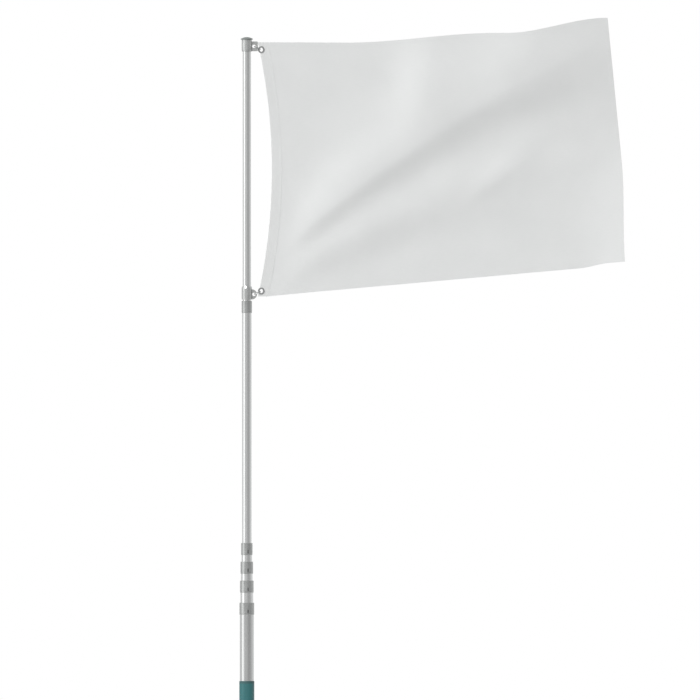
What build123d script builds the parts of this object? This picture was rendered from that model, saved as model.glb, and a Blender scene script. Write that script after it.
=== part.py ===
# Telescopic aluminium flagpole: six nested tubes that slide out of each other,
# locking collars, a plastic ground sleeve, and a flag held by two rings that
# turn about the top tube. Millimetres, +Z up the pole, origin at the centre of
# the sleeve's bottom face, +X towards the flag's fly end.

import os
from math import cos, exp, hypot, radians, sin, sqrt, tan, tanh

from build123d import *

os.makedirs("parts", exist_ok=True)

# Ground sleeve, with a plug and a rim lapped flush onto its ends
SLEEVE_LENGTH = 600.0
SLEEVE_WALL = 1.7
SLEEVE_FIT = 0.3
LAP_WALL = 0.85
LAP_FIT = 0.05
RIM_HEIGHT = 9.0
RIM_LIP = 1.5
PLUG_FLOOR = 4.0
PLUG_HEIGHT = 22.0

# Telescopic tubes, counted from the bottom one up
SECTIONS = 6
BASE_TUBE_OD = 50.0
TUBE_STEP = 4.0
TUBE_WALL = 1.2
TUBE_LENGTH = 940.0
TUBE_OVERLAP = 78.0
FOOT_CLEARANCE = 10.0
TUBE_SHOWS = {2: 36.0, 3: 25.0, 4: 24.0, 5: 25.0}
EXTENDED_SECTION = 5
TOP_TUBE_SHOWS = 933.0
TOP_TUBE_HIDDEN = 90.0

# Locking collars, each with a groove near both ends and a slit near its foot
COLLAR_LENGTH = 43.0
COLLAR_WALL = 1.6
COLLAR_LAND = 6.0
COLLAR_CHAMFER = 0.9
COLLAR_SEAT_FIT = 0.05
GROOVE_INSET = 3.0
GROOVE_WIDTH = 1.2
GROOVE_DEPTH = 0.4
SLIDE_FIT = 0.3
SLIT_WIDTH = 3.5
SLIT_HEIGHT = 13.0
SLIT_DEPTH = 1.0
SLIT_RISE = 5.5
SLIT_OFFSET = 4.5

# Cap on the top tube
CAP_OD = 44.0
CAP_EDGE = 2.5
CAP_DOME = 6.5
CAP_SPIGOT = 24.0
CAP_FIT = 0.1

# Rings that turn on the top tube and carry the flag
RING_OD = 37.0
RING_FIT = 0.5
RING_PLAY = 0.3
RING_TAPER = 5.0
RING_NOSE_OD = 33.5
UPPER_RING_HEIGHT = 43.0
RING_WEB = 3.5
LOWER_RING_HEIGHT = 47.0
LOWER_RING_GAP = 5.0
LUG_THICKNESS = 5.0
LUG_HOLE = 12.0
LUG_REACH = 25.5
UPPER_LUG_END = 39.5
UPPER_LUG_HEIGHT = 35.0
UPPER_LUG_CORNER = 3.0
UPPER_LUG_DROP = 24.0
LOWER_LUG_RADIUS = 18.0
LOWER_LUG_RISE = 18.5

# Links between the rings and the flag
HOOK_WIRE = 3.6
HOOK_WIDTH = 21.0
HOOK_PLAY = 1.8

# Flag header and eyelets
FLAG_THICKNESS = 1.2
FLAG_YAW = 30.0
HEADER_WIDTH = 42.0
HEADER_THICKNESS = 1.8
HOIST_SAG = 57.0
HOIST_EDGE = 14.0
UPPER_EYELET_DROP = 27.0
LOWER_EYELET_RISE = 19.5
EYELET_X = 52.0
EYELET_DROP = 12.0
EYELET_OD = 25.0
EYELET_ID = 15.0
EYELET_LIP = 0.9
EYELET_BARREL = 0.8

# Flag outline: the edges are straight lines with smooth steps, each from one place to another and
# by a height. The long edges are measured across from the pole, the fly edge up from the corner
TOP_STEPS = ((350.0, 900.0, 38.0), (930.0, 1300.0, 57.0))
BOTTOM_SLOPE = 0.09
BOTTOM_START = 60.0
BOTTOM_STEPS = ((1200.0, 1300.0, 10.0),)
FLY_X = 1375.0
FLY_SLOPE = -0.1
FLY_STEPS = ((100.0, 500.0, 25.0),)

# Folds of the cloth. Each row: line start and end (across, up from the flag's lower corner), bow of
# the line, half-width above it, half-width below it, height, and where it begins and fades. In order:
# three ridges that fan out from the corner, one at the top edge, one by each corner of the fly
FOLDS = (
    (150.0, 200.0, 1200.0, 900.0, 40.0, 240.0, 120.0, 26.0, 0.05, 1.0),
    (80.0, 40.0, 1100.0, 480.0, 55.0, 150.0, 140.0, 14.0, 0.1, 1.0),
    (800.0, 350.0, 1120.0, 620.0, 0.0, 80.0, 70.0, 4.0, 0.1, 0.9),
    (600.0, 500.0, 700.0, 1030.0, 0.0, 160.0, 240.0, 20.0, 0.3, 2.0),
    (800.0, 400.0, 1070.0, 960.0, 0.0, 200.0, 400.0, 20.0, 0.5, 2.0),
    (1380.0, -50.0, 1480.0, 450.0, 0.0, 250.0, 250.0, 30.0, -1.0, 1.0),
)
FOLD_CREST = 15.0
FOLD_TAPER = 0.35
FOLD_END = 0.08
FLAT_MARGIN = 90.0
SEAM_FIT = 0.5
GRID_ALONG = 22
GRID_UP = 14


def tube_radius(number):
    return (BASE_TUBE_OD - (number - 1) * TUBE_STEP) / 2


# Heights of the collars and tubes, worked out from the bottom up. The second tube, pushed home,
# stops just above the plug's floor, and a tube drawn out keeps its overlap in the one below
hidden_length = TUBE_LENGTH + COLLAR_LAND - COLLAR_LENGTH
collar_top = {1: PLUG_FLOOR + FOOT_CLEARANCE + hidden_length - TUBE_SHOWS[2]}
for number, shows in TUBE_SHOWS.items():
    drawn_out = hidden_length - shows - TUBE_OVERLAP if number == EXTENDED_SECTION else 0.0
    collar_top[number] = collar_top[number - 1] + shows + drawn_out + COLLAR_LENGTH
tube_top = {number: top - COLLAR_LAND for number, top in collar_top.items()}
tube_bottom = {number: tube_top[number] - TUBE_LENGTH for number in TUBE_SHOWS}
tube_bottom[1] = PLUG_FLOOR
tube_bottom[SECTIONS] = collar_top[SECTIONS - 1] - TOP_TUBE_HIDDEN
tube_top[SECTIONS] = collar_top[SECTIONS - 1] + TOP_TUBE_SHOWS
top_radius = tube_radius(SECTIONS)

# Heights of the rings, lugs and eyelets
upper_ring_top = tube_top[SECTIONS] + RING_PLAY + RING_WEB
cap_bottom = upper_ring_top + RING_PLAY
upper_lug_z = upper_ring_top - UPPER_LUG_DROP
lower_ring_bottom = collar_top[SECTIONS - 1] + LOWER_RING_GAP
lower_lug_z = lower_ring_bottom + LOWER_LUG_RISE
upper_eyelet_z = upper_lug_z - EYELET_DROP
lower_eyelet_z = lower_lug_z + EYELET_DROP
hoist_top_z = upper_eyelet_z + UPPER_EYELET_DROP
hoist_bottom_z = lower_eyelet_z - LOWER_EYELET_RISE
hoist_middle_z = (hoist_top_z + hoist_bottom_z) / 2


def save(piece, label):
    piece.label = label
    export_step(piece, f"parts/{label}.step")


# Sleeve tube, its ends turned down for the plug and the rim
sleeve_inner = tube_radius(1) + SLEEVE_FIT
sleeve_outer = sleeve_inner + SLEEVE_WALL
lap_radius = sleeve_outer - LAP_WALL
with BuildPart() as ground_sleeve:
    with BuildSketch(Plane.XY.offset(PLUG_FLOOR)):
        Circle(lap_radius - LAP_FIT)
        Circle(sleeve_inner, mode=Mode.SUBTRACT)
    extrude(amount=SLEEVE_LENGTH - RIM_LIP - PLUG_FLOOR)
    with BuildSketch(Plane.XY.offset(PLUG_HEIGHT)):
        Circle(sleeve_outer)
        Circle(sleeve_inner, mode=Mode.SUBTRACT)
    extrude(amount=SLEEVE_LENGTH - RIM_HEIGHT - PLUG_HEIGHT)
save(ground_sleeve.part, "ground_sleeve")

# Rim that covers the end of the sleeve's wall
with BuildPart() as sleeve_rim:
    with BuildSketch(Plane.XY.offset(SLEEVE_LENGTH - RIM_HEIGHT)):
        Circle(sleeve_outer)
        Circle(lap_radius, mode=Mode.SUBTRACT)
    extrude(amount=RIM_HEIGHT)
    with BuildSketch(Plane.XY.offset(SLEEVE_LENGTH - RIM_LIP)):
        Circle(sleeve_outer)
        Circle(sleeve_inner, mode=Mode.SUBTRACT)
    extrude(amount=RIM_LIP)
save(sleeve_rim.part, "sleeve_rim")

# Plug that closes the sleeve's foot and carries the base tube
with BuildPart() as sleeve_plug:
    with BuildSketch():
        Circle(sleeve_outer)
    extrude(amount=PLUG_HEIGHT)
    with BuildSketch(Plane.XY.offset(PLUG_FLOOR)):
        Circle(lap_radius)
    extrude(amount=PLUG_HEIGHT, mode=Mode.SUBTRACT)
save(sleeve_plug.part, "sleeve_plug")


def make_tube(number):
    with BuildPart() as section:
        with BuildSketch(Plane.XY.offset(tube_bottom[number])):
            Circle(tube_radius(number))
            Circle(tube_radius(number) - TUBE_WALL, mode=Mode.SUBTRACT)
        extrude(amount=tube_top[number] - tube_bottom[number])
    save(section.part, f"section_{number}")


def make_collar(number):
    bottom = collar_top[number] - COLLAR_LENGTH
    outer = tube_radius(number) + COLLAR_WALL
    with BuildPart() as collar:
        with BuildSketch(Plane.XY.offset(bottom)):
            Circle(outer)
        extrude(amount=COLLAR_LENGTH)
        chamfer(collar.edges().filter_by(GeomType.CIRCLE), length=COLLAR_CHAMFER)
        # Grooves near both ends
        for groove_bottom in (bottom + GROOVE_INSET, collar_top[number] - GROOVE_INSET - GROOVE_WIDTH):
            with BuildSketch(Plane.XY.offset(groove_bottom)):
                Circle(outer)
                Circle(outer - GROOVE_DEPTH, mode=Mode.SUBTRACT)
            extrude(amount=GROOVE_WIDTH, mode=Mode.SUBTRACT)
        # Seat on the tube's end, and the bore the next tube slides through
        with BuildSketch(Plane.XY.offset(bottom)):
            Circle(tube_radius(number) + COLLAR_SEAT_FIT)
        extrude(amount=COLLAR_LENGTH - COLLAR_LAND, mode=Mode.SUBTRACT)
        with BuildSketch(Plane.XY.offset(bottom)):
            Circle(tube_radius(number + 1) + SLIDE_FIT)
        extrude(amount=COLLAR_LENGTH, mode=Mode.SUBTRACT)
        if number < EXTENDED_SECTION:
            with BuildSketch(Plane.XZ.offset(outer - SLIT_DEPTH)):
                with Locations((SLIT_OFFSET, bottom + SLIT_RISE + SLIT_HEIGHT / 2)):
                    SlotOverall(SLIT_HEIGHT, SLIT_WIDTH, rotation=90)
            extrude(amount=COLLAR_WALL, mode=Mode.SUBTRACT)
    save(collar.part, f"collar_{number}")


for number in range(1, SECTIONS + 1):
    make_tube(number)
for number in range(1, SECTIONS):
    make_collar(number)

# Cap: a domed mushroom head with a spigot in the top tube's bore
spigot_radius = top_radius - TUBE_WALL - CAP_FIT
with BuildPart() as top_cap:
    with BuildSketch(Plane.XZ):
        with BuildLine():
            edge_top = (CAP_OD / 2, cap_bottom + CAP_EDGE)
            dome_top = (0, cap_bottom + CAP_EDGE + CAP_DOME)
            Polyline(dome_top, (0, cap_bottom - CAP_SPIGOT), (spigot_radius, cap_bottom - CAP_SPIGOT),
                     (spigot_radius, cap_bottom), (CAP_OD / 2, cap_bottom), edge_top)
            TangentArc(dome_top, edge_top, tangent=(1, 0))
        make_face()
    revolve(axis=Axis.Z)
save(top_cap.part, "top_cap")


def make_ring(label, bottom, height, lug_z, web):
    # Sleeve on the top tube with an ear; the web, where there is one, rests on the tube's end
    top = bottom + height
    radius, nose = RING_OD / 2, RING_NOSE_OD / 2
    if web:
        profile = ((0, bottom), (nose, bottom), (radius, bottom + RING_TAPER), (radius, top), (0, top))
    else:
        profile = ((0, bottom), (radius, bottom), (radius, top - RING_TAPER), (nose, top), (0, top))
    with BuildPart() as ring:
        with BuildSketch(Plane.XZ):
            with BuildLine():
                Polyline(*profile, close=True)
            make_face()
        revolve(axis=Axis.Z)
        with BuildSketch(Plane.XZ):
            if web:
                with Locations((UPPER_LUG_END / 2, lug_z)):
                    RectangleRounded(UPPER_LUG_END, UPPER_LUG_HEIGHT, UPPER_LUG_CORNER)
            else:
                with Locations((radius, lug_z)):
                    Circle(LOWER_LUG_RADIUS)
            with Locations((LUG_REACH, lug_z)):
                Circle(LUG_HOLE / 2, mode=Mode.SUBTRACT)
        extrude(amount=LUG_THICKNESS / 2, both=True)
        with BuildSketch(Plane.XY.offset(bottom)):
            Circle(top_radius + RING_FIT)
        extrude(amount=height - web, mode=Mode.SUBTRACT)
        if web:
            with BuildSketch(Plane.XY.offset(bottom)):
                Circle(spigot_radius + RING_PLAY)
            extrude(amount=height, mode=Mode.SUBTRACT)
    save(ring.part, label)


# The upper ring turns on the tube's end, trapped under the cap; the lower one is loose on the tube
make_ring("upper_ring", upper_ring_top - UPPER_RING_HEIGHT, UPPER_RING_HEIGHT, upper_lug_z, RING_WEB)
make_ring("lower_ring", lower_ring_bottom, LOWER_RING_HEIGHT, lower_lug_z, 0.0)

# Plane of the flag's header: upright, through the eyelets, turned from the view plane so that
# the rims of the eyelets stand in line with the lugs
yaw = radians(FLAG_YAW)
eyelet_rim = (EYELET_OD + EYELET_ID) / 4
flag_plane = Plane(origin=(EYELET_X, eyelet_rim * sin(yaw), 0), x_dir=(cos(yaw), sin(yaw), 0),
                   z_dir=(sin(yaw), -cos(yaw), 0))


def make_hook(label, lug_z, eyelet_z):
    # Oval link, pulled tight between the lug's hole and the flag's eyelet
    lug_hole = Vector(LUG_REACH, 0, lug_z)
    eyelet_hole = flag_plane.from_local_coords(Vector(0, eyelet_z, 0))
    pull = (eyelet_hole - lug_hole).normalized()
    lug_end = lug_hole + pull * ((LUG_HOLE - HOOK_WIRE) / 2 - HOOK_PLAY)
    along = eyelet_hole - pull * ((EYELET_ID - HOOK_WIRE) / 2 - HOOK_PLAY) - lug_end
    link_plane = Plane(origin=lug_end, x_dir=along,
                       z_dir=along.cross(Vector(-sin(yaw / 2), cos(yaw / 2), 0)))
    bend = (HOOK_WIDTH - HOOK_WIRE) / 2
    with BuildPart() as hook:
        with BuildLine(link_plane) as path:
            near = Line((bend, -bend), (along.length - bend, -bend))
            tip = TangentArc(near @ 1, (along.length - bend, bend), tangent=near % 1)
            far = Line(tip @ 1, (bend, bend))
            TangentArc(far @ 1, near @ 0, tangent=far % 1)
        with BuildSketch(Plane(origin=near @ 0.5, z_dir=near % 0.5)):
            Circle(HOOK_WIRE / 2)
        sweep(path=path.wire())
    save(hook.part, label)


make_hook("upper_hook", upper_lug_z, upper_eyelet_z)
make_hook("lower_hook", lower_lug_z, lower_eyelet_z)

hoist_height = hoist_top_z - hoist_bottom_z
hoist_radius = (HOIST_SAG**2 + (hoist_height / 2) ** 2) / (2 * HOIST_SAG)


def hoist_edge(height_z):
    # Distance from the eyelets, along the flag, of the hollow hoist edge
    off_middle = height_z - hoist_middle_z
    return -HOIST_EDGE + HOIST_SAG - hoist_radius + sqrt(hoist_radius**2 - off_middle**2)


def seam_x(height_z):
    # Where the header's inner edge stands across the view
    return EYELET_X + (hoist_edge(height_z) + HEADER_WIDTH + SEAM_FIT) * cos(yaw)


# Header tape, cut hollow along the hoist and pierced for the eyelets
barrel_radius = EYELET_ID / 2 + EYELET_BARREL
with BuildPart() as flag_header:
    with BuildSketch(flag_plane):
        with BuildLine():
            corner, middle = hoist_edge(hoist_bottom_z), hoist_edge(hoist_middle_z)
            outer_edge = ThreePointArc((corner, hoist_bottom_z), (middle, hoist_middle_z),
                                       (corner, hoist_top_z))
            inner_edge = ThreePointArc((corner + HEADER_WIDTH, hoist_top_z),
                                       (middle + HEADER_WIDTH, hoist_middle_z),
                                       (corner + HEADER_WIDTH, hoist_bottom_z))
            Line(outer_edge @ 1, inner_edge @ 0)
            Line(inner_edge @ 1, outer_edge @ 0)
        make_face()
        with Locations((0, upper_eyelet_z), (0, lower_eyelet_z)):
            Circle(barrel_radius + COLLAR_SEAT_FIT, mode=Mode.SUBTRACT)
    extrude(amount=HEADER_THICKNESS / 2, both=True)
save(flag_header.part, "flag_header")


def make_eyelet(label, eyelet_z):
    # Pressed grommet: a barrel through the header with a lip on each side
    axis_plane = Plane(origin=flag_plane.from_local_coords((0, eyelet_z, 0)),
                       x_dir=flag_plane.x_dir, z_dir=flag_plane.z_dir)
    seat = HEADER_THICKNESS / 2 + COLLAR_SEAT_FIT
    with BuildPart() as eyelet:
        with BuildSketch(axis_plane):
            Circle(barrel_radius)
        extrude(amount=seat + EYELET_LIP / 2, both=True)
        for side in (1, -1):
            with BuildSketch(axis_plane.offset(side * seat)):
                Circle(EYELET_OD / 2)
            extrude(amount=side * EYELET_LIP)
        with BuildSketch(axis_plane):
            Circle(EYELET_ID / 2)
        extrude(amount=2 * seat + 2 * EYELET_LIP, both=True, mode=Mode.SUBTRACT)
    save(eyelet.part, label)


make_eyelet("upper_eyelet", upper_eyelet_z)
make_eyelet("lower_eyelet", lower_eyelet_z)


def fold_height(across, rise, fold):
    # One fold's height towards the viewer, with a width of its own on each side of its line
    start_x, start_z, end_x, end_z, bow, above, below, height, begins, fades = fold
    length = hypot(end_x - start_x, end_z - start_z)
    along_x, along_z = (end_x - start_x) / length, (end_z - start_z) / length
    reach = ((across - start_x) * along_x + (rise - start_z) * along_z) / length
    off_line = (rise - start_z) * along_x - (across - start_x) * along_z - 4 * bow * reach * (1 - reach)
    upper_share = (1 + tanh(off_line / FOLD_CREST)) / 2
    width = (below + (above - below) * upper_share) * max(FOLD_TAPER + (1 - FOLD_TAPER) * reach, FOLD_END)
    ends = (1 + exp((begins - reach) / FOLD_END)) * (1 + exp((reach - fades) / FOLD_END))
    return height * exp(-((off_line / width) ** 2)) / ends


def stepped(place, steps):
    # Sum of smooth steps at a place along an edge
    total = 0.0
    for start, end, height in steps:
        share = min(max((place - start) / (end - start), 0.0), 1.0)
        total += height * share**2 * (3 - 2 * share)
    return total


def edge_heights(x):
    # Heights of the bottom and top edges
    bottom_z = hoist_bottom_z + BOTTOM_SLOPE * (x - BOTTOM_START) + stepped(x, BOTTOM_STEPS)
    return bottom_z, hoist_top_z + stepped(x, TOP_STEPS)


def flag_point(along, up):
    # along runs from the header's seam to the fly edge, up from the bottom hem to the top
    seam_low, seam_high = edge_heights(seam_x(hoist_bottom_z))
    start_x = seam_x(seam_low + (seam_high - seam_low) * up)
    fly_low, fly_high = edge_heights(FLY_X)
    fly_rise = fly_low - hoist_bottom_z + (fly_high - fly_low) * up
    fly_x = FLY_X + FLY_SLOPE * fly_rise + stepped(fly_rise, FLY_STEPS)
    x = start_x + (fly_x - start_x) * along
    bottom_z, top_z = edge_heights(x)
    z = bottom_z + (top_z - bottom_z) * up
    free = 1 - exp(-(((x - start_x) / FLAT_MARGIN) ** 2))
    lift = free * sum(fold_height(x, z - hoist_bottom_z, fold) for fold in FOLDS)
    return Vector(x, flag_plane.origin.Y + (x - EYELET_X) * tan(yaw) - lift, z)


cloth = Face.make_surface_from_array_of_points(
    [[flag_point(i / GRID_ALONG, j / GRID_UP) for j in range(GRID_UP + 1)] for i in range(GRID_ALONG + 1)]
)
with BuildPart() as flag:
    extrude(cloth, amount=FLAG_THICKNESS, dir=(0, 1, 0))
save(flag.part, "flag")
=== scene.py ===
# %% [markdown]
# # A telescopic flagpole and its flag
#
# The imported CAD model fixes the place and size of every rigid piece. This script
# loads it, gives each piece its finish, makes the flag's cloth as a fine mesh with
# hems and stitches, and sets up the light and the camera.

# %% Load the model
import math

import bmesh
import bpy
from mathutils import Matrix, Vector, noise


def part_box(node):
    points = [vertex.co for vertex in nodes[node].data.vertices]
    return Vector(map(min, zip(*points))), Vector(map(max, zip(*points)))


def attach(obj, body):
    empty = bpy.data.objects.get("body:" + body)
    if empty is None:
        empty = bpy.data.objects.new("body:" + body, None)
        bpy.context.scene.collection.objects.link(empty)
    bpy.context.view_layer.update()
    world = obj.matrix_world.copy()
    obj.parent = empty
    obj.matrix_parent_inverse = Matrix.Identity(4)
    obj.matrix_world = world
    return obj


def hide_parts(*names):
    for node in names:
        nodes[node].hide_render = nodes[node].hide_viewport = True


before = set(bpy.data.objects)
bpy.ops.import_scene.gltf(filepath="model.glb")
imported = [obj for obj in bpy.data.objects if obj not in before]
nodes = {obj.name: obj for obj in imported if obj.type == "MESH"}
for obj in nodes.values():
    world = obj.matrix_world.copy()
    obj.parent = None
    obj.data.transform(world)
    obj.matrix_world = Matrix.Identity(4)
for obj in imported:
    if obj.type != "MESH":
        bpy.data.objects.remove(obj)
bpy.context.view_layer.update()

print("CAD nodes:", len(nodes))

# %% [markdown]
# ## Material helpers
#
# Every finish starts from one Principled shader. Its texture comes from noise and
# waves laid in Object coordinates, which are metres here because each piece sits
# at the origin. Stretching the noise along the pole makes drawn lines.


# %% Material helpers
def new_material(name, roughness, metallic=0.0):
    material = bpy.data.materials.new(name)
    material.use_nodes = True
    tree = material.node_tree
    shader = tree.nodes["Principled BSDF"]
    shader.inputs["Roughness"].default_value = roughness
    shader.inputs["Metallic"].default_value = metallic
    return material, tree, shader


def coordinates(tree, scale, turn=0.0, source="Object"):
    where = tree.nodes.new("ShaderNodeTexCoord")
    mapping = tree.nodes.new("ShaderNodeMapping")
    mapping.inputs["Scale"].default_value = scale
    mapping.inputs["Rotation"].default_value = (0, 0, turn)
    tree.links.new(where.outputs[source], mapping.inputs["Vector"])
    return mapping.outputs["Vector"]


def add_noise(tree, scale, detail=3.0, turn=0.0, source="Object"):
    texture = tree.nodes.new("ShaderNodeTexNoise")
    texture.inputs["Scale"].default_value = 1.0
    texture.inputs["Detail"].default_value = detail
    tree.links.new(coordinates(tree, scale, turn, source), texture.inputs["Vector"])
    return texture.outputs["Fac"]


def add_threads(tree, direction, period, turn=0.0, source="Object"):
    texture = tree.nodes.new("ShaderNodeTexWave")
    texture.bands_direction = direction
    texture.inputs["Scale"].default_value = math.pi / 10 / period
    texture.inputs["Distortion"].default_value = 0.6
    texture.inputs["Detail Scale"].default_value = 0.4
    tree.links.new(coordinates(tree, (1, 1, 1), turn, source), texture.inputs["Vector"])
    return texture.outputs["Fac"]


def to_range(tree, value, low, high, start=0.3, stop=0.7):
    remap = tree.nodes.new("ShaderNodeMapRange")
    remap.inputs["From Min"].default_value = start
    remap.inputs["From Max"].default_value = stop
    remap.inputs["To Min"].default_value = low
    remap.inputs["To Max"].default_value = high
    tree.links.new(value, remap.inputs["Value"])
    return remap.outputs["Result"]


def between(tree, value, first, second, start=0.3, stop=0.7):
    ramp = tree.nodes.new("ShaderNodeValToRGB")
    ramp.color_ramp.elements[0].position = start
    ramp.color_ramp.elements[0].color = (*first, 1)
    ramp.color_ramp.elements[1].position = stop
    ramp.color_ramp.elements[1].color = (*second, 1)
    tree.links.new(value, ramp.inputs["Fac"])
    return ramp.outputs["Color"]


def combine(tree, operation, first, second):
    node = tree.nodes.new("ShaderNodeMath")
    node.operation = operation
    for socket, value in zip(node.inputs, (first, second)):
        if isinstance(value, float):
            socket.default_value = value
        else:
            tree.links.new(value, socket)
    return node.outputs["Value"]


def add_bump(tree, shader, height, distance, strength=1.0):
    bump = tree.nodes.new("ShaderNodeBump")
    bump.inputs["Distance"].default_value = distance
    bump.inputs["Strength"].default_value = strength
    tree.links.new(height, bump.inputs["Height"])
    tree.links.new(bump.outputs["Normal"], shader.inputs["Normal"])


print("helpers ready")

# %% [markdown]
# ## Drawn aluminium
#
# The tubes are satin aluminium. Fine lines run along them from the drawing die,
# and broad patches vary the roughness, as handling does. An image of brushed metal
# would need a UV map on every tube. Noise that is squeezed around the pole and
# stretched along it needs none, and its lines stay upright on any diameter.
#
# The widest tube is a shade darker in the photograph, so a function makes the finish
# in more than one tone.


# %% Aluminium
def satin_aluminium(name, tone):
    material, tree, shader = new_material(name, 0.3, 0.85)
    lines = add_noise(tree, (700, 700, 1.5), 3)
    patches = add_noise(tree, (14, 14, 5), 3)
    dark, light = [(tone * share, tone * share * 1.013, tone * share * 1.01) for share in (0.96, 1.05)]
    tree.links.new(between(tree, lines, dark, light), shader.inputs["Base Color"])
    rough = combine(tree, "ADD", to_range(tree, lines, 0.0, 0.05), to_range(tree, patches, 0.15, 0.23))
    tree.links.new(rough, shader.inputs["Roughness"])
    add_bump(tree, shader, lines, 0.00002, 0.5)
    return material


aluminium = satin_aluminium("satin_aluminium", 0.75)
base_aluminium = satin_aluminium("base_aluminium", 0.64)
print("made", aluminium.name, "and", base_aluminium.name)

# %% [markdown]
# ## Moulded plastics
#
# One function makes every plastic: a fine grain, a little colour drift, and
# scuffs that are rougher than the rest. The collars and rings carry a metallic
# lacquer, because the photograph shows the bright stripe of the tubes on them too.


# %% Plastics
def plastic(name, dark, light, roughness, grain=1800.0, drawn=1.0, metallic=0.0):
    material, tree, shader = new_material(name, roughness, metallic)
    drift = add_noise(tree, (26, 26, 26 * drawn), 4)
    fine = add_noise(tree, (grain, grain, grain * drawn), 2)
    scuffs = add_noise(tree, (160, 160, 40), 6)
    tree.links.new(between(tree, drift, dark, light), shader.inputs["Base Color"])
    wear = combine(tree, "ADD", to_range(tree, scuffs, -0.02, 0.10, 0.52, 0.66), roughness)
    tree.links.new(wear, shader.inputs["Roughness"])
    surface = combine(tree, "ADD", fine, combine(tree, "MULTIPLY", scuffs, 0.5))
    add_bump(tree, shader, surface, 0.00002, 0.6)
    return material


sleeve_green = plastic("sleeve_green", (0.017, 0.098, 0.103), (0.026, 0.122, 0.128), 0.36, 1200, 0.02)
rim_green = plastic("sleeve_rim", (0.022, 0.070, 0.073), (0.030, 0.085, 0.088), 0.42)
collar_grey = plastic("collar_grey", (0.40, 0.41, 0.405), (0.45, 0.46, 0.455), 0.22, metallic=0.7)
cap_grey = plastic("cap_grey", (0.13, 0.145, 0.14), (0.165, 0.18, 0.175), 0.42)
ring_grey = plastic("ring_grey", (0.50, 0.51, 0.505), (0.55, 0.56, 0.555), 0.26, metallic=0.7)
# Painted shade: a near-black plastic for the slit liners, standing in for the shade inside the collars'
# slits.
slit_painted_shade = plastic("slit_painted_shade", (0.02, 0.021, 0.021), (0.035, 0.036, 0.036), 0.6)
print("made 6 plastics")

# %% [markdown]
# ## Steel fittings
#
# The links and eyelets are steel with a soft polish. Small pits and rubbed
# patches change the roughness.

# %% Steel
steel, tree, shader = new_material("worn_steel", 0.35, 1.0)
pits = add_noise(tree, (900, 900, 900), 3)
rubbed = add_noise(tree, (90, 90, 90), 4)
tree.links.new(between(tree, rubbed, (0.48, 0.49, 0.49), (0.62, 0.63, 0.63)), shader.inputs["Base Color"])
tree.links.new(to_range(tree, rubbed, 0.28, 0.48), shader.inputs["Roughness"])
add_bump(tree, shader, pits, 0.00004, 0.5)
print("made", steel.name)

# %% [markdown]
# ## Woven cloth
#
# Two sets of waves make the warp and the weft. On the flag they follow its UV map,
# which is in metres of flat cloth, so the threads follow every fold. The header
# tape is flat and stands 30 degrees to the view, so there the coordinates are
# turned instead.

# %% Cloth
YAW = math.radians(30)


def woven(name, dark, light, period, source, turn=0.0, across="Y", depth=0.00012):
    material, tree, shader = new_material(name, 0.85)
    warp = add_threads(tree, "X", period, turn, source)
    weft = add_threads(tree, across, period, turn, source)
    weave = combine(tree, "MAXIMUM", warp, weft)
    slubs = add_noise(tree, (40, 400, 400) if source == "UV" else (400, 400, 40), 3, turn, source)
    cloud = add_noise(tree, (7, 7, 7), 4, turn, source)
    woven_part = combine(tree, "MULTIPLY", weave, 0.25)
    shade = combine(tree, "ADD", woven_part, combine(tree, "MULTIPLY", slubs, 0.35))
    shade = combine(tree, "ADD", shade, combine(tree, "MULTIPLY", cloud, 0.4))
    tree.links.new(between(tree, shade, dark, light, 0.35, 0.75), shader.inputs["Base Color"])
    tree.links.new(to_range(tree, slubs, 0.78, 0.92), shader.inputs["Roughness"])
    shader.inputs["Sheen Weight"].default_value = 0.06
    shader.inputs["Specular IOR Level"].default_value = 0.2
    add_bump(tree, shader, combine(tree, "ADD", weave, slubs), depth, 0.5)
    return material, tree, shader


flag_cloth, tree, shader = woven("flag_cloth", (0.80, 0.812, 0.808), (0.85, 0.86, 0.856), 0.0009, "UV")
glow = tree.nodes.new("ShaderNodeBsdfTranslucent")
glow.inputs["Color"].default_value = (0.8, 0.81, 0.8, 1)
mix = tree.nodes.new("ShaderNodeMixShader")
mix.inputs["Fac"].default_value = 0.05
surface = tree.nodes["Material Output"].inputs["Surface"]
tree.links.new(shader.outputs["BSDF"], mix.inputs[1])
tree.links.new(glow.outputs["BSDF"], mix.inputs[2])
tree.links.new(mix.outputs["Shader"], surface)
header_cloth = woven(
    "header_cloth", (0.755, 0.765, 0.761), (0.815, 0.825, 0.82), 0.0016, "Object", -YAW, "Z", 0.0003
)[0]
thread_white = woven("thread", (0.80, 0.81, 0.808), (0.86, 0.87, 0.865), 0.0003, "Object", 0.0, "Z")[0]
print("made 3 cloths")

# %% [markdown]
# ## Finishes for the CAD pieces
#
# Each CAD node keeps its mesh and gets a finish in its own material slots.

# %% Assign finishes
finish_of = {"ground_sleeve": sleeve_green, "sleeve_rim": rim_green, "sleeve_plug": rim_green}
finish_of.update({"top_cap": cap_grey, "upper_ring": ring_grey, "lower_ring": ring_grey})
finish_of.update({"upper_hook": steel, "lower_hook": steel, "upper_eyelet": steel, "lower_eyelet": steel})
finish_of["flag_header"] = header_cloth
finish_of.update({name: aluminium for name in nodes if name.startswith("section_")})
finish_of.update({name: collar_grey for name in nodes if name.startswith("collar_")})
finish_of["section_1"] = base_aluminium
for name, finish in finish_of.items():
    node = nodes[name]
    if not node.material_slots:
        node.data.materials.append(finish)
    for slot in node.material_slots:
        slot.material = finish
print("finished", len(finish_of), "of", len(nodes), "nodes")
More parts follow.
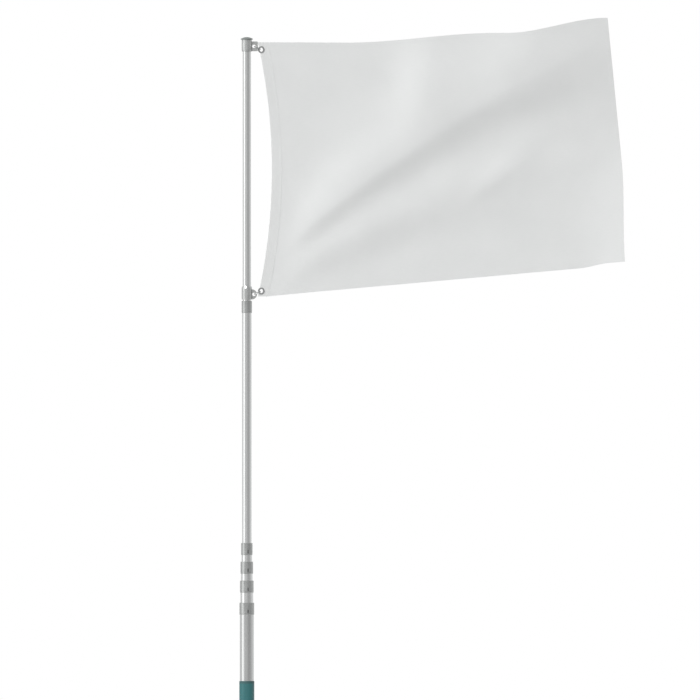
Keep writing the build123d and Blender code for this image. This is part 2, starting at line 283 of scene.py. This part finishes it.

# %% [markdown]
# ## Slits in the collars
#
# Four collars have a short upright slit that looks black, because the tube inside it lies in shade. A
# thin near-black slot of painted shade lies at the bottom of each recess: a circle drawn out to a slot,
# then thickened.

# %% Slit liners of painted shade
SLIT_RADIUS, SLIT_STRETCH, SLIT_THICKNESS = 0.0017, 0.0095, 0.00015
SLIT_OFFSET, SLIT_RECESS, SLIT_RISE = 0.0045, 0.0008, 0.00725
shade_liners = []
bodies = {1: "base", 2: "second_tube", 3: "third_tube", 4: "fourth_tube"}
for number, body in bodies.items():
    low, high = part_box(f"collar_{number}")
    shape = bmesh.new()
    bmesh.ops.create_circle(shape, cap_ends=True, radius=SLIT_RADIUS, segments=28)
    upper = [vertex for vertex in shape.verts if vertex.co.y > 0]
    bmesh.ops.translate(shape, verts=upper, vec=(0, SLIT_STRETCH, 0))
    bmesh.ops.rotate(shape, verts=shape.verts, matrix=Matrix.Rotation(math.pi / 2, 3, "X"))
    foot = Vector((SLIT_OFFSET, -(high.x - SLIT_RECESS), low.z + SLIT_RISE))
    bmesh.ops.translate(shape, verts=shape.verts, vec=foot)
    bmesh.ops.solidify(shape, geom=shape.faces[:], thickness=SLIT_THICKNESS)
    mesh = bpy.data.meshes.new(f"slit_{number}")
    shape.to_mesh(mesh)
    shape.free()
    shade_liner = bpy.data.objects.new(f"slit_{number}", mesh)
    bpy.context.scene.collection.objects.link(shade_liner)
    mesh.materials.append(slit_painted_shade)
    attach(shade_liner, body)
    shade_liners.append(shade_liner)
print("slit liners:", len(shade_liners))

# %% [markdown]
# ## The shape of the cloth
#
# The cloth's middle surface is one formula in millimetres. A point is given by how
# far along and how far up the flag it lies. Its edges are lines with smooth steps.
# Its folds are long ridges: three fan out from the lower hoist corner, one stands at
# the top edge, and one lies by each corner of the fly. They die away towards the
# header's seam. Each row of FOLDS gives a crest line's start and end, how far it
# bows, its half-width above and below, its height, and where it begins and fades.

# %% Cloth formula
EYELET_X, PLANE_Y = 52.0, 5.0
header_low, header_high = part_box("flag_header")
HOIST_LOW, HOIST_HIGH = header_low.z * 1000, header_high.z * 1000
HOIST_SAG, HOIST_EDGE, HEADER_WIDTH = 57.0, 14.0, 42.0
TOP_STEPS = ((350, 900, 38), (930, 1300, 57))
BOTTOM_SLOPE, BOTTOM_START, BOTTOM_STEPS = 0.09, 60.0, ((1200, 1300, 10),)
FLY_X, FLY_SLOPE, FLY_STEPS = 1375.0, -0.1, ((100, 500, 25),)
CORNER_EASE, FLAT_MARGIN, RIPPLE = 50.0, 90.0, 2.2
FOLD_CREST, FOLD_TAPER, FOLD_END = 15.0, 0.35, 0.08
FOLDS = (
    (150, 200, 1200, 900, 40, 240, 120, 26, 0.05, 1.0),
    (80, 40, 1100, 480, 55, 150, 140, 14, 0.1, 1.0),
    (800, 350, 1120, 620, 0, 80, 70, 4, 0.1, 0.9),
    (600, 500, 700, 1030, 0, 160, 240, 20, 0.3, 2.0),
    (800, 400, 1070, 960, 0, 200, 400, 20, 0.5, 2.0),
    (1380, -50, 1480, 450, 0, 250, 250, 30, -1.0, 1.0),
)


def stepped(place, steps):
    total = 0.0
    for start, end, height in steps:
        share = min(max((place - start) / (end - start), 0.0), 1.0)
        total += height * share**2 * (3 - 2 * share)
    return total


def edge_heights(x):
    corner_x = seam_x(HOIST_LOW)
    corner = BOTTOM_SLOPE * (corner_x - BOTTOM_START) * math.exp(-max(x - corner_x, 0) / CORNER_EASE)
    low = HOIST_LOW + BOTTOM_SLOPE * (x - BOTTOM_START) - corner + stepped(x, BOTTOM_STEPS)
    return low, HOIST_HIGH + stepped(x, TOP_STEPS)


def seam_x(z):
    half = (HOIST_HIGH - HOIST_LOW) / 2
    radius = (HOIST_SAG**2 + half**2) / (2 * HOIST_SAG)
    edge = HOIST_SAG - HOIST_EDGE - radius + math.sqrt(radius**2 - (z - HOIST_LOW - half) ** 2)
    return EYELET_X + (edge + HEADER_WIDTH) * math.cos(YAW)


def fold_height(x, rise, fold):
    x0, z0, x1, z1, bow, above, below, height, begins, fades = fold
    length = math.hypot(x1 - x0, z1 - z0)
    ux, uz = (x1 - x0) / length, (z1 - z0) / length
    reach = ((x - x0) * ux + (rise - z0) * uz) / length
    off = (rise - z0) * ux - (x - x0) * uz - 4 * bow * reach * (1 - reach)
    taper = max(FOLD_TAPER + (1 - FOLD_TAPER) * reach, FOLD_END)
    width = (below + (above - below) * (1 + math.tanh(off / FOLD_CREST)) / 2) * taper
    ends = (1 + math.exp((begins - reach) / FOLD_END)) * (1 + math.exp((reach - fades) / FOLD_END))
    return height * math.exp(-((off / width) ** 2)) / ends


def cloth(along, up):
    seam_low, seam_high = edge_heights(seam_x(HOIST_LOW))
    start = seam_x(min(max(seam_low + (seam_high - seam_low) * up, HOIST_LOW), HOIST_HIGH))
    fly_low, fly_high = edge_heights(FLY_X)
    fly_rise = fly_low - HOIST_LOW + (fly_high - fly_low) * up
    fly = FLY_X + FLY_SLOPE * fly_rise + stepped(fly_rise, FLY_STEPS)
    x = start + (fly - start) * along
    low, high = edge_heights(x)
    z = low + (high - low) * up
    free = 1 - math.exp(-((max(x - start, 0) / FLAT_MARGIN) ** 2))
    lift = free * sum(fold_height(x, z - HOIST_LOW, fold) for fold in FOLDS)
    lift += free * RIPPLE * noise.noise(Vector((x / 170, z / 110, 3.0)))
    return Vector((x, PLANE_Y + (x - EYELET_X) * math.tan(YAW) - lift, z)) / 1000


print("fly corners at", cloth(1, 0), cloth(1, 1))

# %% [markdown]
# ## Cloth pieces
#
# A patch is a bmesh grid. Each of its vertices is moved onto the formula, between
# given limits along and up the flag. Its UV map is the place on the flat cloth in
# metres, 1.5 m by 0.9 m. A Solidify modifier gives it thickness on both sides, and
# is applied, so that the edges of its cut rims can be marked sharp.


# %% Crisp rims
def crisp(piece, limit=60):
    """Apply the thickness, and keep the shading from rolling over the cut edges."""
    thick = bpy.data.meshes.new_from_object(piece.evaluated_get(bpy.context.evaluated_depsgraph_get()))
    shape = bmesh.new()
    shape.from_mesh(thick)
    for edge in shape.edges:
        edge.smooth = edge.calc_face_angle(0) < math.radians(limit)
    shape.to_mesh(thick)
    shape.free()
    piece.modifiers.clear()
    piece.data = thick


print("rims sharper than 60 degrees stay crisp")


# %% Patches
FLAT_LENGTH, FLAT_HEIGHT = 1.5, 0.9


def patch(name, along, up, columns, rows, thickness, material):
    shape = bmesh.new()
    uv = shape.loops.layers.uv.new("UVMap")
    bmesh.ops.create_grid(shape, x_segments=columns, y_segments=rows, size=0.5)
    flat = {}
    for vertex in shape.verts:
        s = along[0] + (along[1] - along[0]) * (vertex.co.x + 0.5)
        t = up[0] + (up[1] - up[0]) * (vertex.co.y + 0.5)
        flat[vertex] = (FLAT_LENGTH * s, FLAT_HEIGHT * t)
        vertex.co = cloth(s, t)
    for face in shape.faces:
        face.smooth = True
        for loop in face.loops:
            loop[uv].uv = flat[loop.vert]
    mesh = bpy.data.meshes.new(name)
    shape.to_mesh(mesh)
    shape.free()
    piece = bpy.data.objects.new(name, mesh)
    bpy.context.scene.collection.objects.link(piece)
    mesh.materials.append(material)
    solid = piece.modifiers.new("thickness", "SOLIDIFY")
    solid.thickness = thickness
    solid.offset = 0
    crisp(piece)
    return piece


COLUMNS, ROWS = 230, 150
TUCKED_IN = -0.006
HEM, FLY_HEM = 0.0135, 0.012
flag = patch("flag_cloth_sheet", (TUCKED_IN, 1), (0, 1), COLUMNS, ROWS, 0.0007, flag_cloth)
hems = [
    patch("hem_bottom", (0, 1), (0, HEM), COLUMNS, 3, 0.0011, flag_cloth),
    patch("hem_top", (0, 1), (1 - HEM, 1), COLUMNS, 3, 0.0011, flag_cloth),
    patch("hem_fly", (1 - FLY_HEM, 1), (HEM, 1 - HEM), 4, ROWS, 0.0012, flag_cloth),
]
print("cloth pieces:", 1 + len(hems))

# %% [markdown]
# ## Stitches
#
# Each stitch is a small block that goes right through the hem, so it shows on both
# faces. It is turned to lie along its seam and across the cloth.

# %% Stitches
STITCH_PITCH, STITCH_LENGTH, STITCH_WIDTH = 0.0034, 0.0025, 0.0006


def lay_stitches(shape, places, depth):
    """places pairs each point of a seam with its normal; a stitch goes at each pitch."""
    travelled = STITCH_PITCH
    for first, second in zip(places, places[1:]):
        step = second[0] - first[0]
        travelled += step.length
        if travelled < STITCH_PITCH:
            continue
        travelled = 0.0
        x_axis = step.normalized()
        y_axis = first[1].cross(x_axis).normalized()
        z_axis = x_axis.cross(y_axis)
        turn = Matrix((x_axis, y_axis, z_axis)).transposed().to_4x4()
        size = Matrix.Diagonal((STITCH_LENGTH, STITCH_WIDTH, depth, 1))
        bmesh.ops.create_cube(shape, size=1, matrix=Matrix.Translation(first[0]) @ turn @ size)


def on_cloth(along, up):
    here, beside, above = cloth(along, up), cloth(along + 0.002, up), cloth(along, up + 0.002)
    return here, (beside - here).cross(above - here).normalized()


def finish_mesh(name, shape, material):
    mesh = bpy.data.meshes.new(name)
    shape.to_mesh(mesh)
    shape.free()
    piece = bpy.data.objects.new(name, mesh)
    bpy.context.scene.collection.objects.link(piece)
    mesh.materials.append(material)
    return piece


shape = bmesh.new()
inner = HEM * 0.82
for up in (inner, 1 - inner):
    lay_stitches(shape, [on_cloth(i / 2600, up) for i in range(8, 2560)], 0.0013)
for along in (1 - 0.0100, 1 - 0.0080):
    lay_stitches(shape, [on_cloth(along, i / 1800) for i in range(30, 1770)], 0.0014)
flag_stitches = finish_mesh("hem_stitches", shape, thread_white)
print("hem stitch faces:", len(flag_stitches.data.polygons))

# %% Header stitches
EYELET_CLEAR = 14.5
eyelets = [sum(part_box(name), Vector()) * 500 for name in ("upper_eyelet", "lower_eyelet")]
normal = Vector((math.sin(YAW), -math.cos(YAW), 0))
shape = bmesh.new()
for inset in (3.5, 8.0, HEADER_WIDTH - 3.5):
    seam = []
    for i in range(1400):
        z = HOIST_LOW + 6 + (HOIST_HIGH - HOIST_LOW - 12) * i / 1399
        x = seam_x(z) - inset * math.cos(YAW)
        place = Vector((x, PLANE_Y + (x - EYELET_X) * math.tan(YAW), z))
        if min((place - centre).length for centre in eyelets) > EYELET_CLEAR:
            seam.append((place / 1000, normal))
    lay_stitches(shape, seam, 0.0023)
header_stitches = finish_mesh("header_stitches", shape, thread_white)
print("header stitch faces:", len(header_stitches.data.polygons))

# %% [markdown]
# ## Tie the cloth to the model
#
# The cloth rides on the body that turns with the rings, and stands for the plain
# CAD flag, which is hidden.

# %% Tie to the model
for piece in (flag, *hems, flag_stitches, header_stitches):
    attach(piece, "flag_swivel")
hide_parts("flag")

# %% [markdown]
# ## Studio
#
# The background is white to the camera. What the pole mirrors is a plain studio
# whose brightness changes with direction: a tall bright panel to the left, a
# darker side by the camera, and paler walls behind. A soft sun from the upper
# left draws the folds.

# %% World
world = bpy.data.worlds.new("studio")
bpy.context.scene.world = world
world.use_nodes = True
tree = world.node_tree
tree.nodes.clear()
where = tree.nodes.new("ShaderNodeTexCoord")
split = tree.nodes.new("ShaderNodeSeparateXYZ")
tree.links.new(where.outputs["Generated"], split.inputs["Vector"])
towards = combine(tree, "MULTIPLY", split.outputs["Y"], -1.0)
angle = combine(tree, "ARCTAN2", split.outputs["X"], towards)
share = combine(tree, "ADD", combine(tree, "MULTIPLY", angle, 0.5 / math.pi), 0.5)
ramp = tree.nodes.new("ShaderNodeValToRGB")
tree.links.new(share, ramp.inputs["Fac"])
PANELS = (
    (-180, 0.80), (-125, 0.62), (-98, 0.52), (-85, 1.2), (-78, 1.5), (-60, 1.5), (-50, 0.9),
    (-42, 0.50), (-22, 0.46), (-5, 0.50), (10, 0.40), (28, 0.32), (48, 0.34), (70, 0.46), (105, 0.78),
    (180, 0.85),
)
BRIGHTEST = 1.5
elements = ramp.color_ramp.elements
elements[0].position, elements[1].position = 0.0, 1.0
for degrees, _ in PANELS[1:-1]:
    elements.new(degrees / 360 + 0.5)
for element, (_, level) in zip(elements, PANELS):
    grey = level / BRIGHTEST
    element.color = (grey, grey, grey, 1)
room = tree.nodes.new("ShaderNodeBackground")
room.inputs["Strength"].default_value = BRIGHTEST
tree.links.new(ramp.outputs["Color"], room.inputs["Color"])
white = tree.nodes.new("ShaderNodeBackground")
white.inputs["Color"].default_value = (1, 1, 1, 1)
path = tree.nodes.new("ShaderNodeLightPath")
mix = tree.nodes.new("ShaderNodeMixShader")
tree.links.new(path.outputs["Is Camera Ray"], mix.inputs["Fac"])
tree.links.new(room.outputs["Background"], mix.inputs[1])
tree.links.new(white.outputs["Background"], mix.inputs[2])
output = tree.nodes.new("ShaderNodeOutputWorld")
tree.links.new(mix.outputs["Shader"], output.inputs["Surface"])
print("world panels:", len(elements))

# %% [markdown]
# ## Key light and fill
#
# Cloth shows its folds only under light that grazes it. A soft sun from the upper
# left does that for the front of the flag, and a third sun, for the back, is roughly
# its mirror image in the plane of the flag. A wide one in front lifts the shadows.
# Only the first one shows up in the metal.


# %% Lamps
def add_sun(name, energy, spread, comes_from, shows_in_metal):
    sun = bpy.data.lights.new(name, "SUN")
    sun.energy = energy
    sun.angle = math.radians(spread)
    lamp = bpy.data.objects.new(name, sun)
    lamp.rotation_euler = Vector(comes_from).to_track_quat("Z", "Y").to_euler()
    lamp.visible_glossy = shows_in_metal
    bpy.context.scene.collection.objects.link(lamp)
    return lamp


lamps = [
    add_sun("key", 1.85, 12, (-0.41, -0.66, 0.63), True),
    add_sun("fill", 0.86, 60, (-0.1, -1, 0.15), False),
    add_sun("back", 0.8, 12, (-0.78, 0.0, 0.63), False),
]
print("lamps:", [lamp.name for lamp in lamps])

# %% [markdown]
# ## Floor
#
# A pale disc catches the pole's shadow. Its material turns clear towards the rim,
# so that it melts into the white background instead of ending at a line.

# %% Floor
FLOOR_RADIUS = 2.6
pale, tree, shader = new_material("pale_floor", 0.9)
clouds = add_noise(tree, (3, 3, 3), 4)
floor_colour = between(tree, clouds, (0.72, 0.725, 0.725), (0.74, 0.745, 0.745))
tree.links.new(floor_colour, shader.inputs["Base Color"])
reach = tree.nodes.new("ShaderNodeVectorMath")
reach.operation = "LENGTH"
tree.links.new(coordinates(tree, (1, 1, 1)), reach.inputs[0])
fade = to_range(tree, reach.outputs["Value"], 0.0, 1.0, FLOOR_RADIUS * 0.35, FLOOR_RADIUS * 0.98)
clear = tree.nodes.new("ShaderNodeBsdfTransparent")
mix = tree.nodes.new("ShaderNodeMixShader")
tree.links.new(fade, mix.inputs["Fac"])
tree.links.new(shader.outputs["BSDF"], mix.inputs[1])
tree.links.new(clear.outputs["BSDF"], mix.inputs[2])
tree.links.new(mix.outputs["Shader"], tree.nodes["Material Output"].inputs["Surface"])
shape = bmesh.new()
bmesh.ops.create_circle(shape, cap_ends=True, radius=FLOOR_RADIUS, segments=96)
floor = finish_mesh("floor", shape, pale)
print("floor radius:", FLOOR_RADIUS)

# %% [markdown]
# ## Camera
#
# The photograph looks level, and from so far away that the fly of the flag is no
# smaller than its hoist. A camera nearby would shrink the far end by some
# centimetres. So it stands 110 m off, and its lens is chosen to take in 2.51 m.

# %% Camera
FAR, PICTURE_WIDTH = 110.0, 2.51
MIDDLE_X, MIDDLE_Z = 0.370, 1.787
lens = bpy.data.cameras.new("camera")
lens.sensor_width = 36
lens.lens = lens.sensor_width * FAR / PICTURE_WIDTH
lens.clip_end = 5 * FAR
camera = bpy.data.objects.new("camera", lens)
camera.location = (MIDDLE_X, -FAR, MIDDLE_Z)
camera.rotation_euler = (math.radians(90), 0, 0)
bpy.context.scene.collection.objects.link(camera)
scene = bpy.context.scene
scene.camera = camera
scene.render.resolution_x = 1400
scene.render.resolution_y = 1400
scene.view_settings.view_transform = "Standard"
print("camera at", tuple(camera.location))
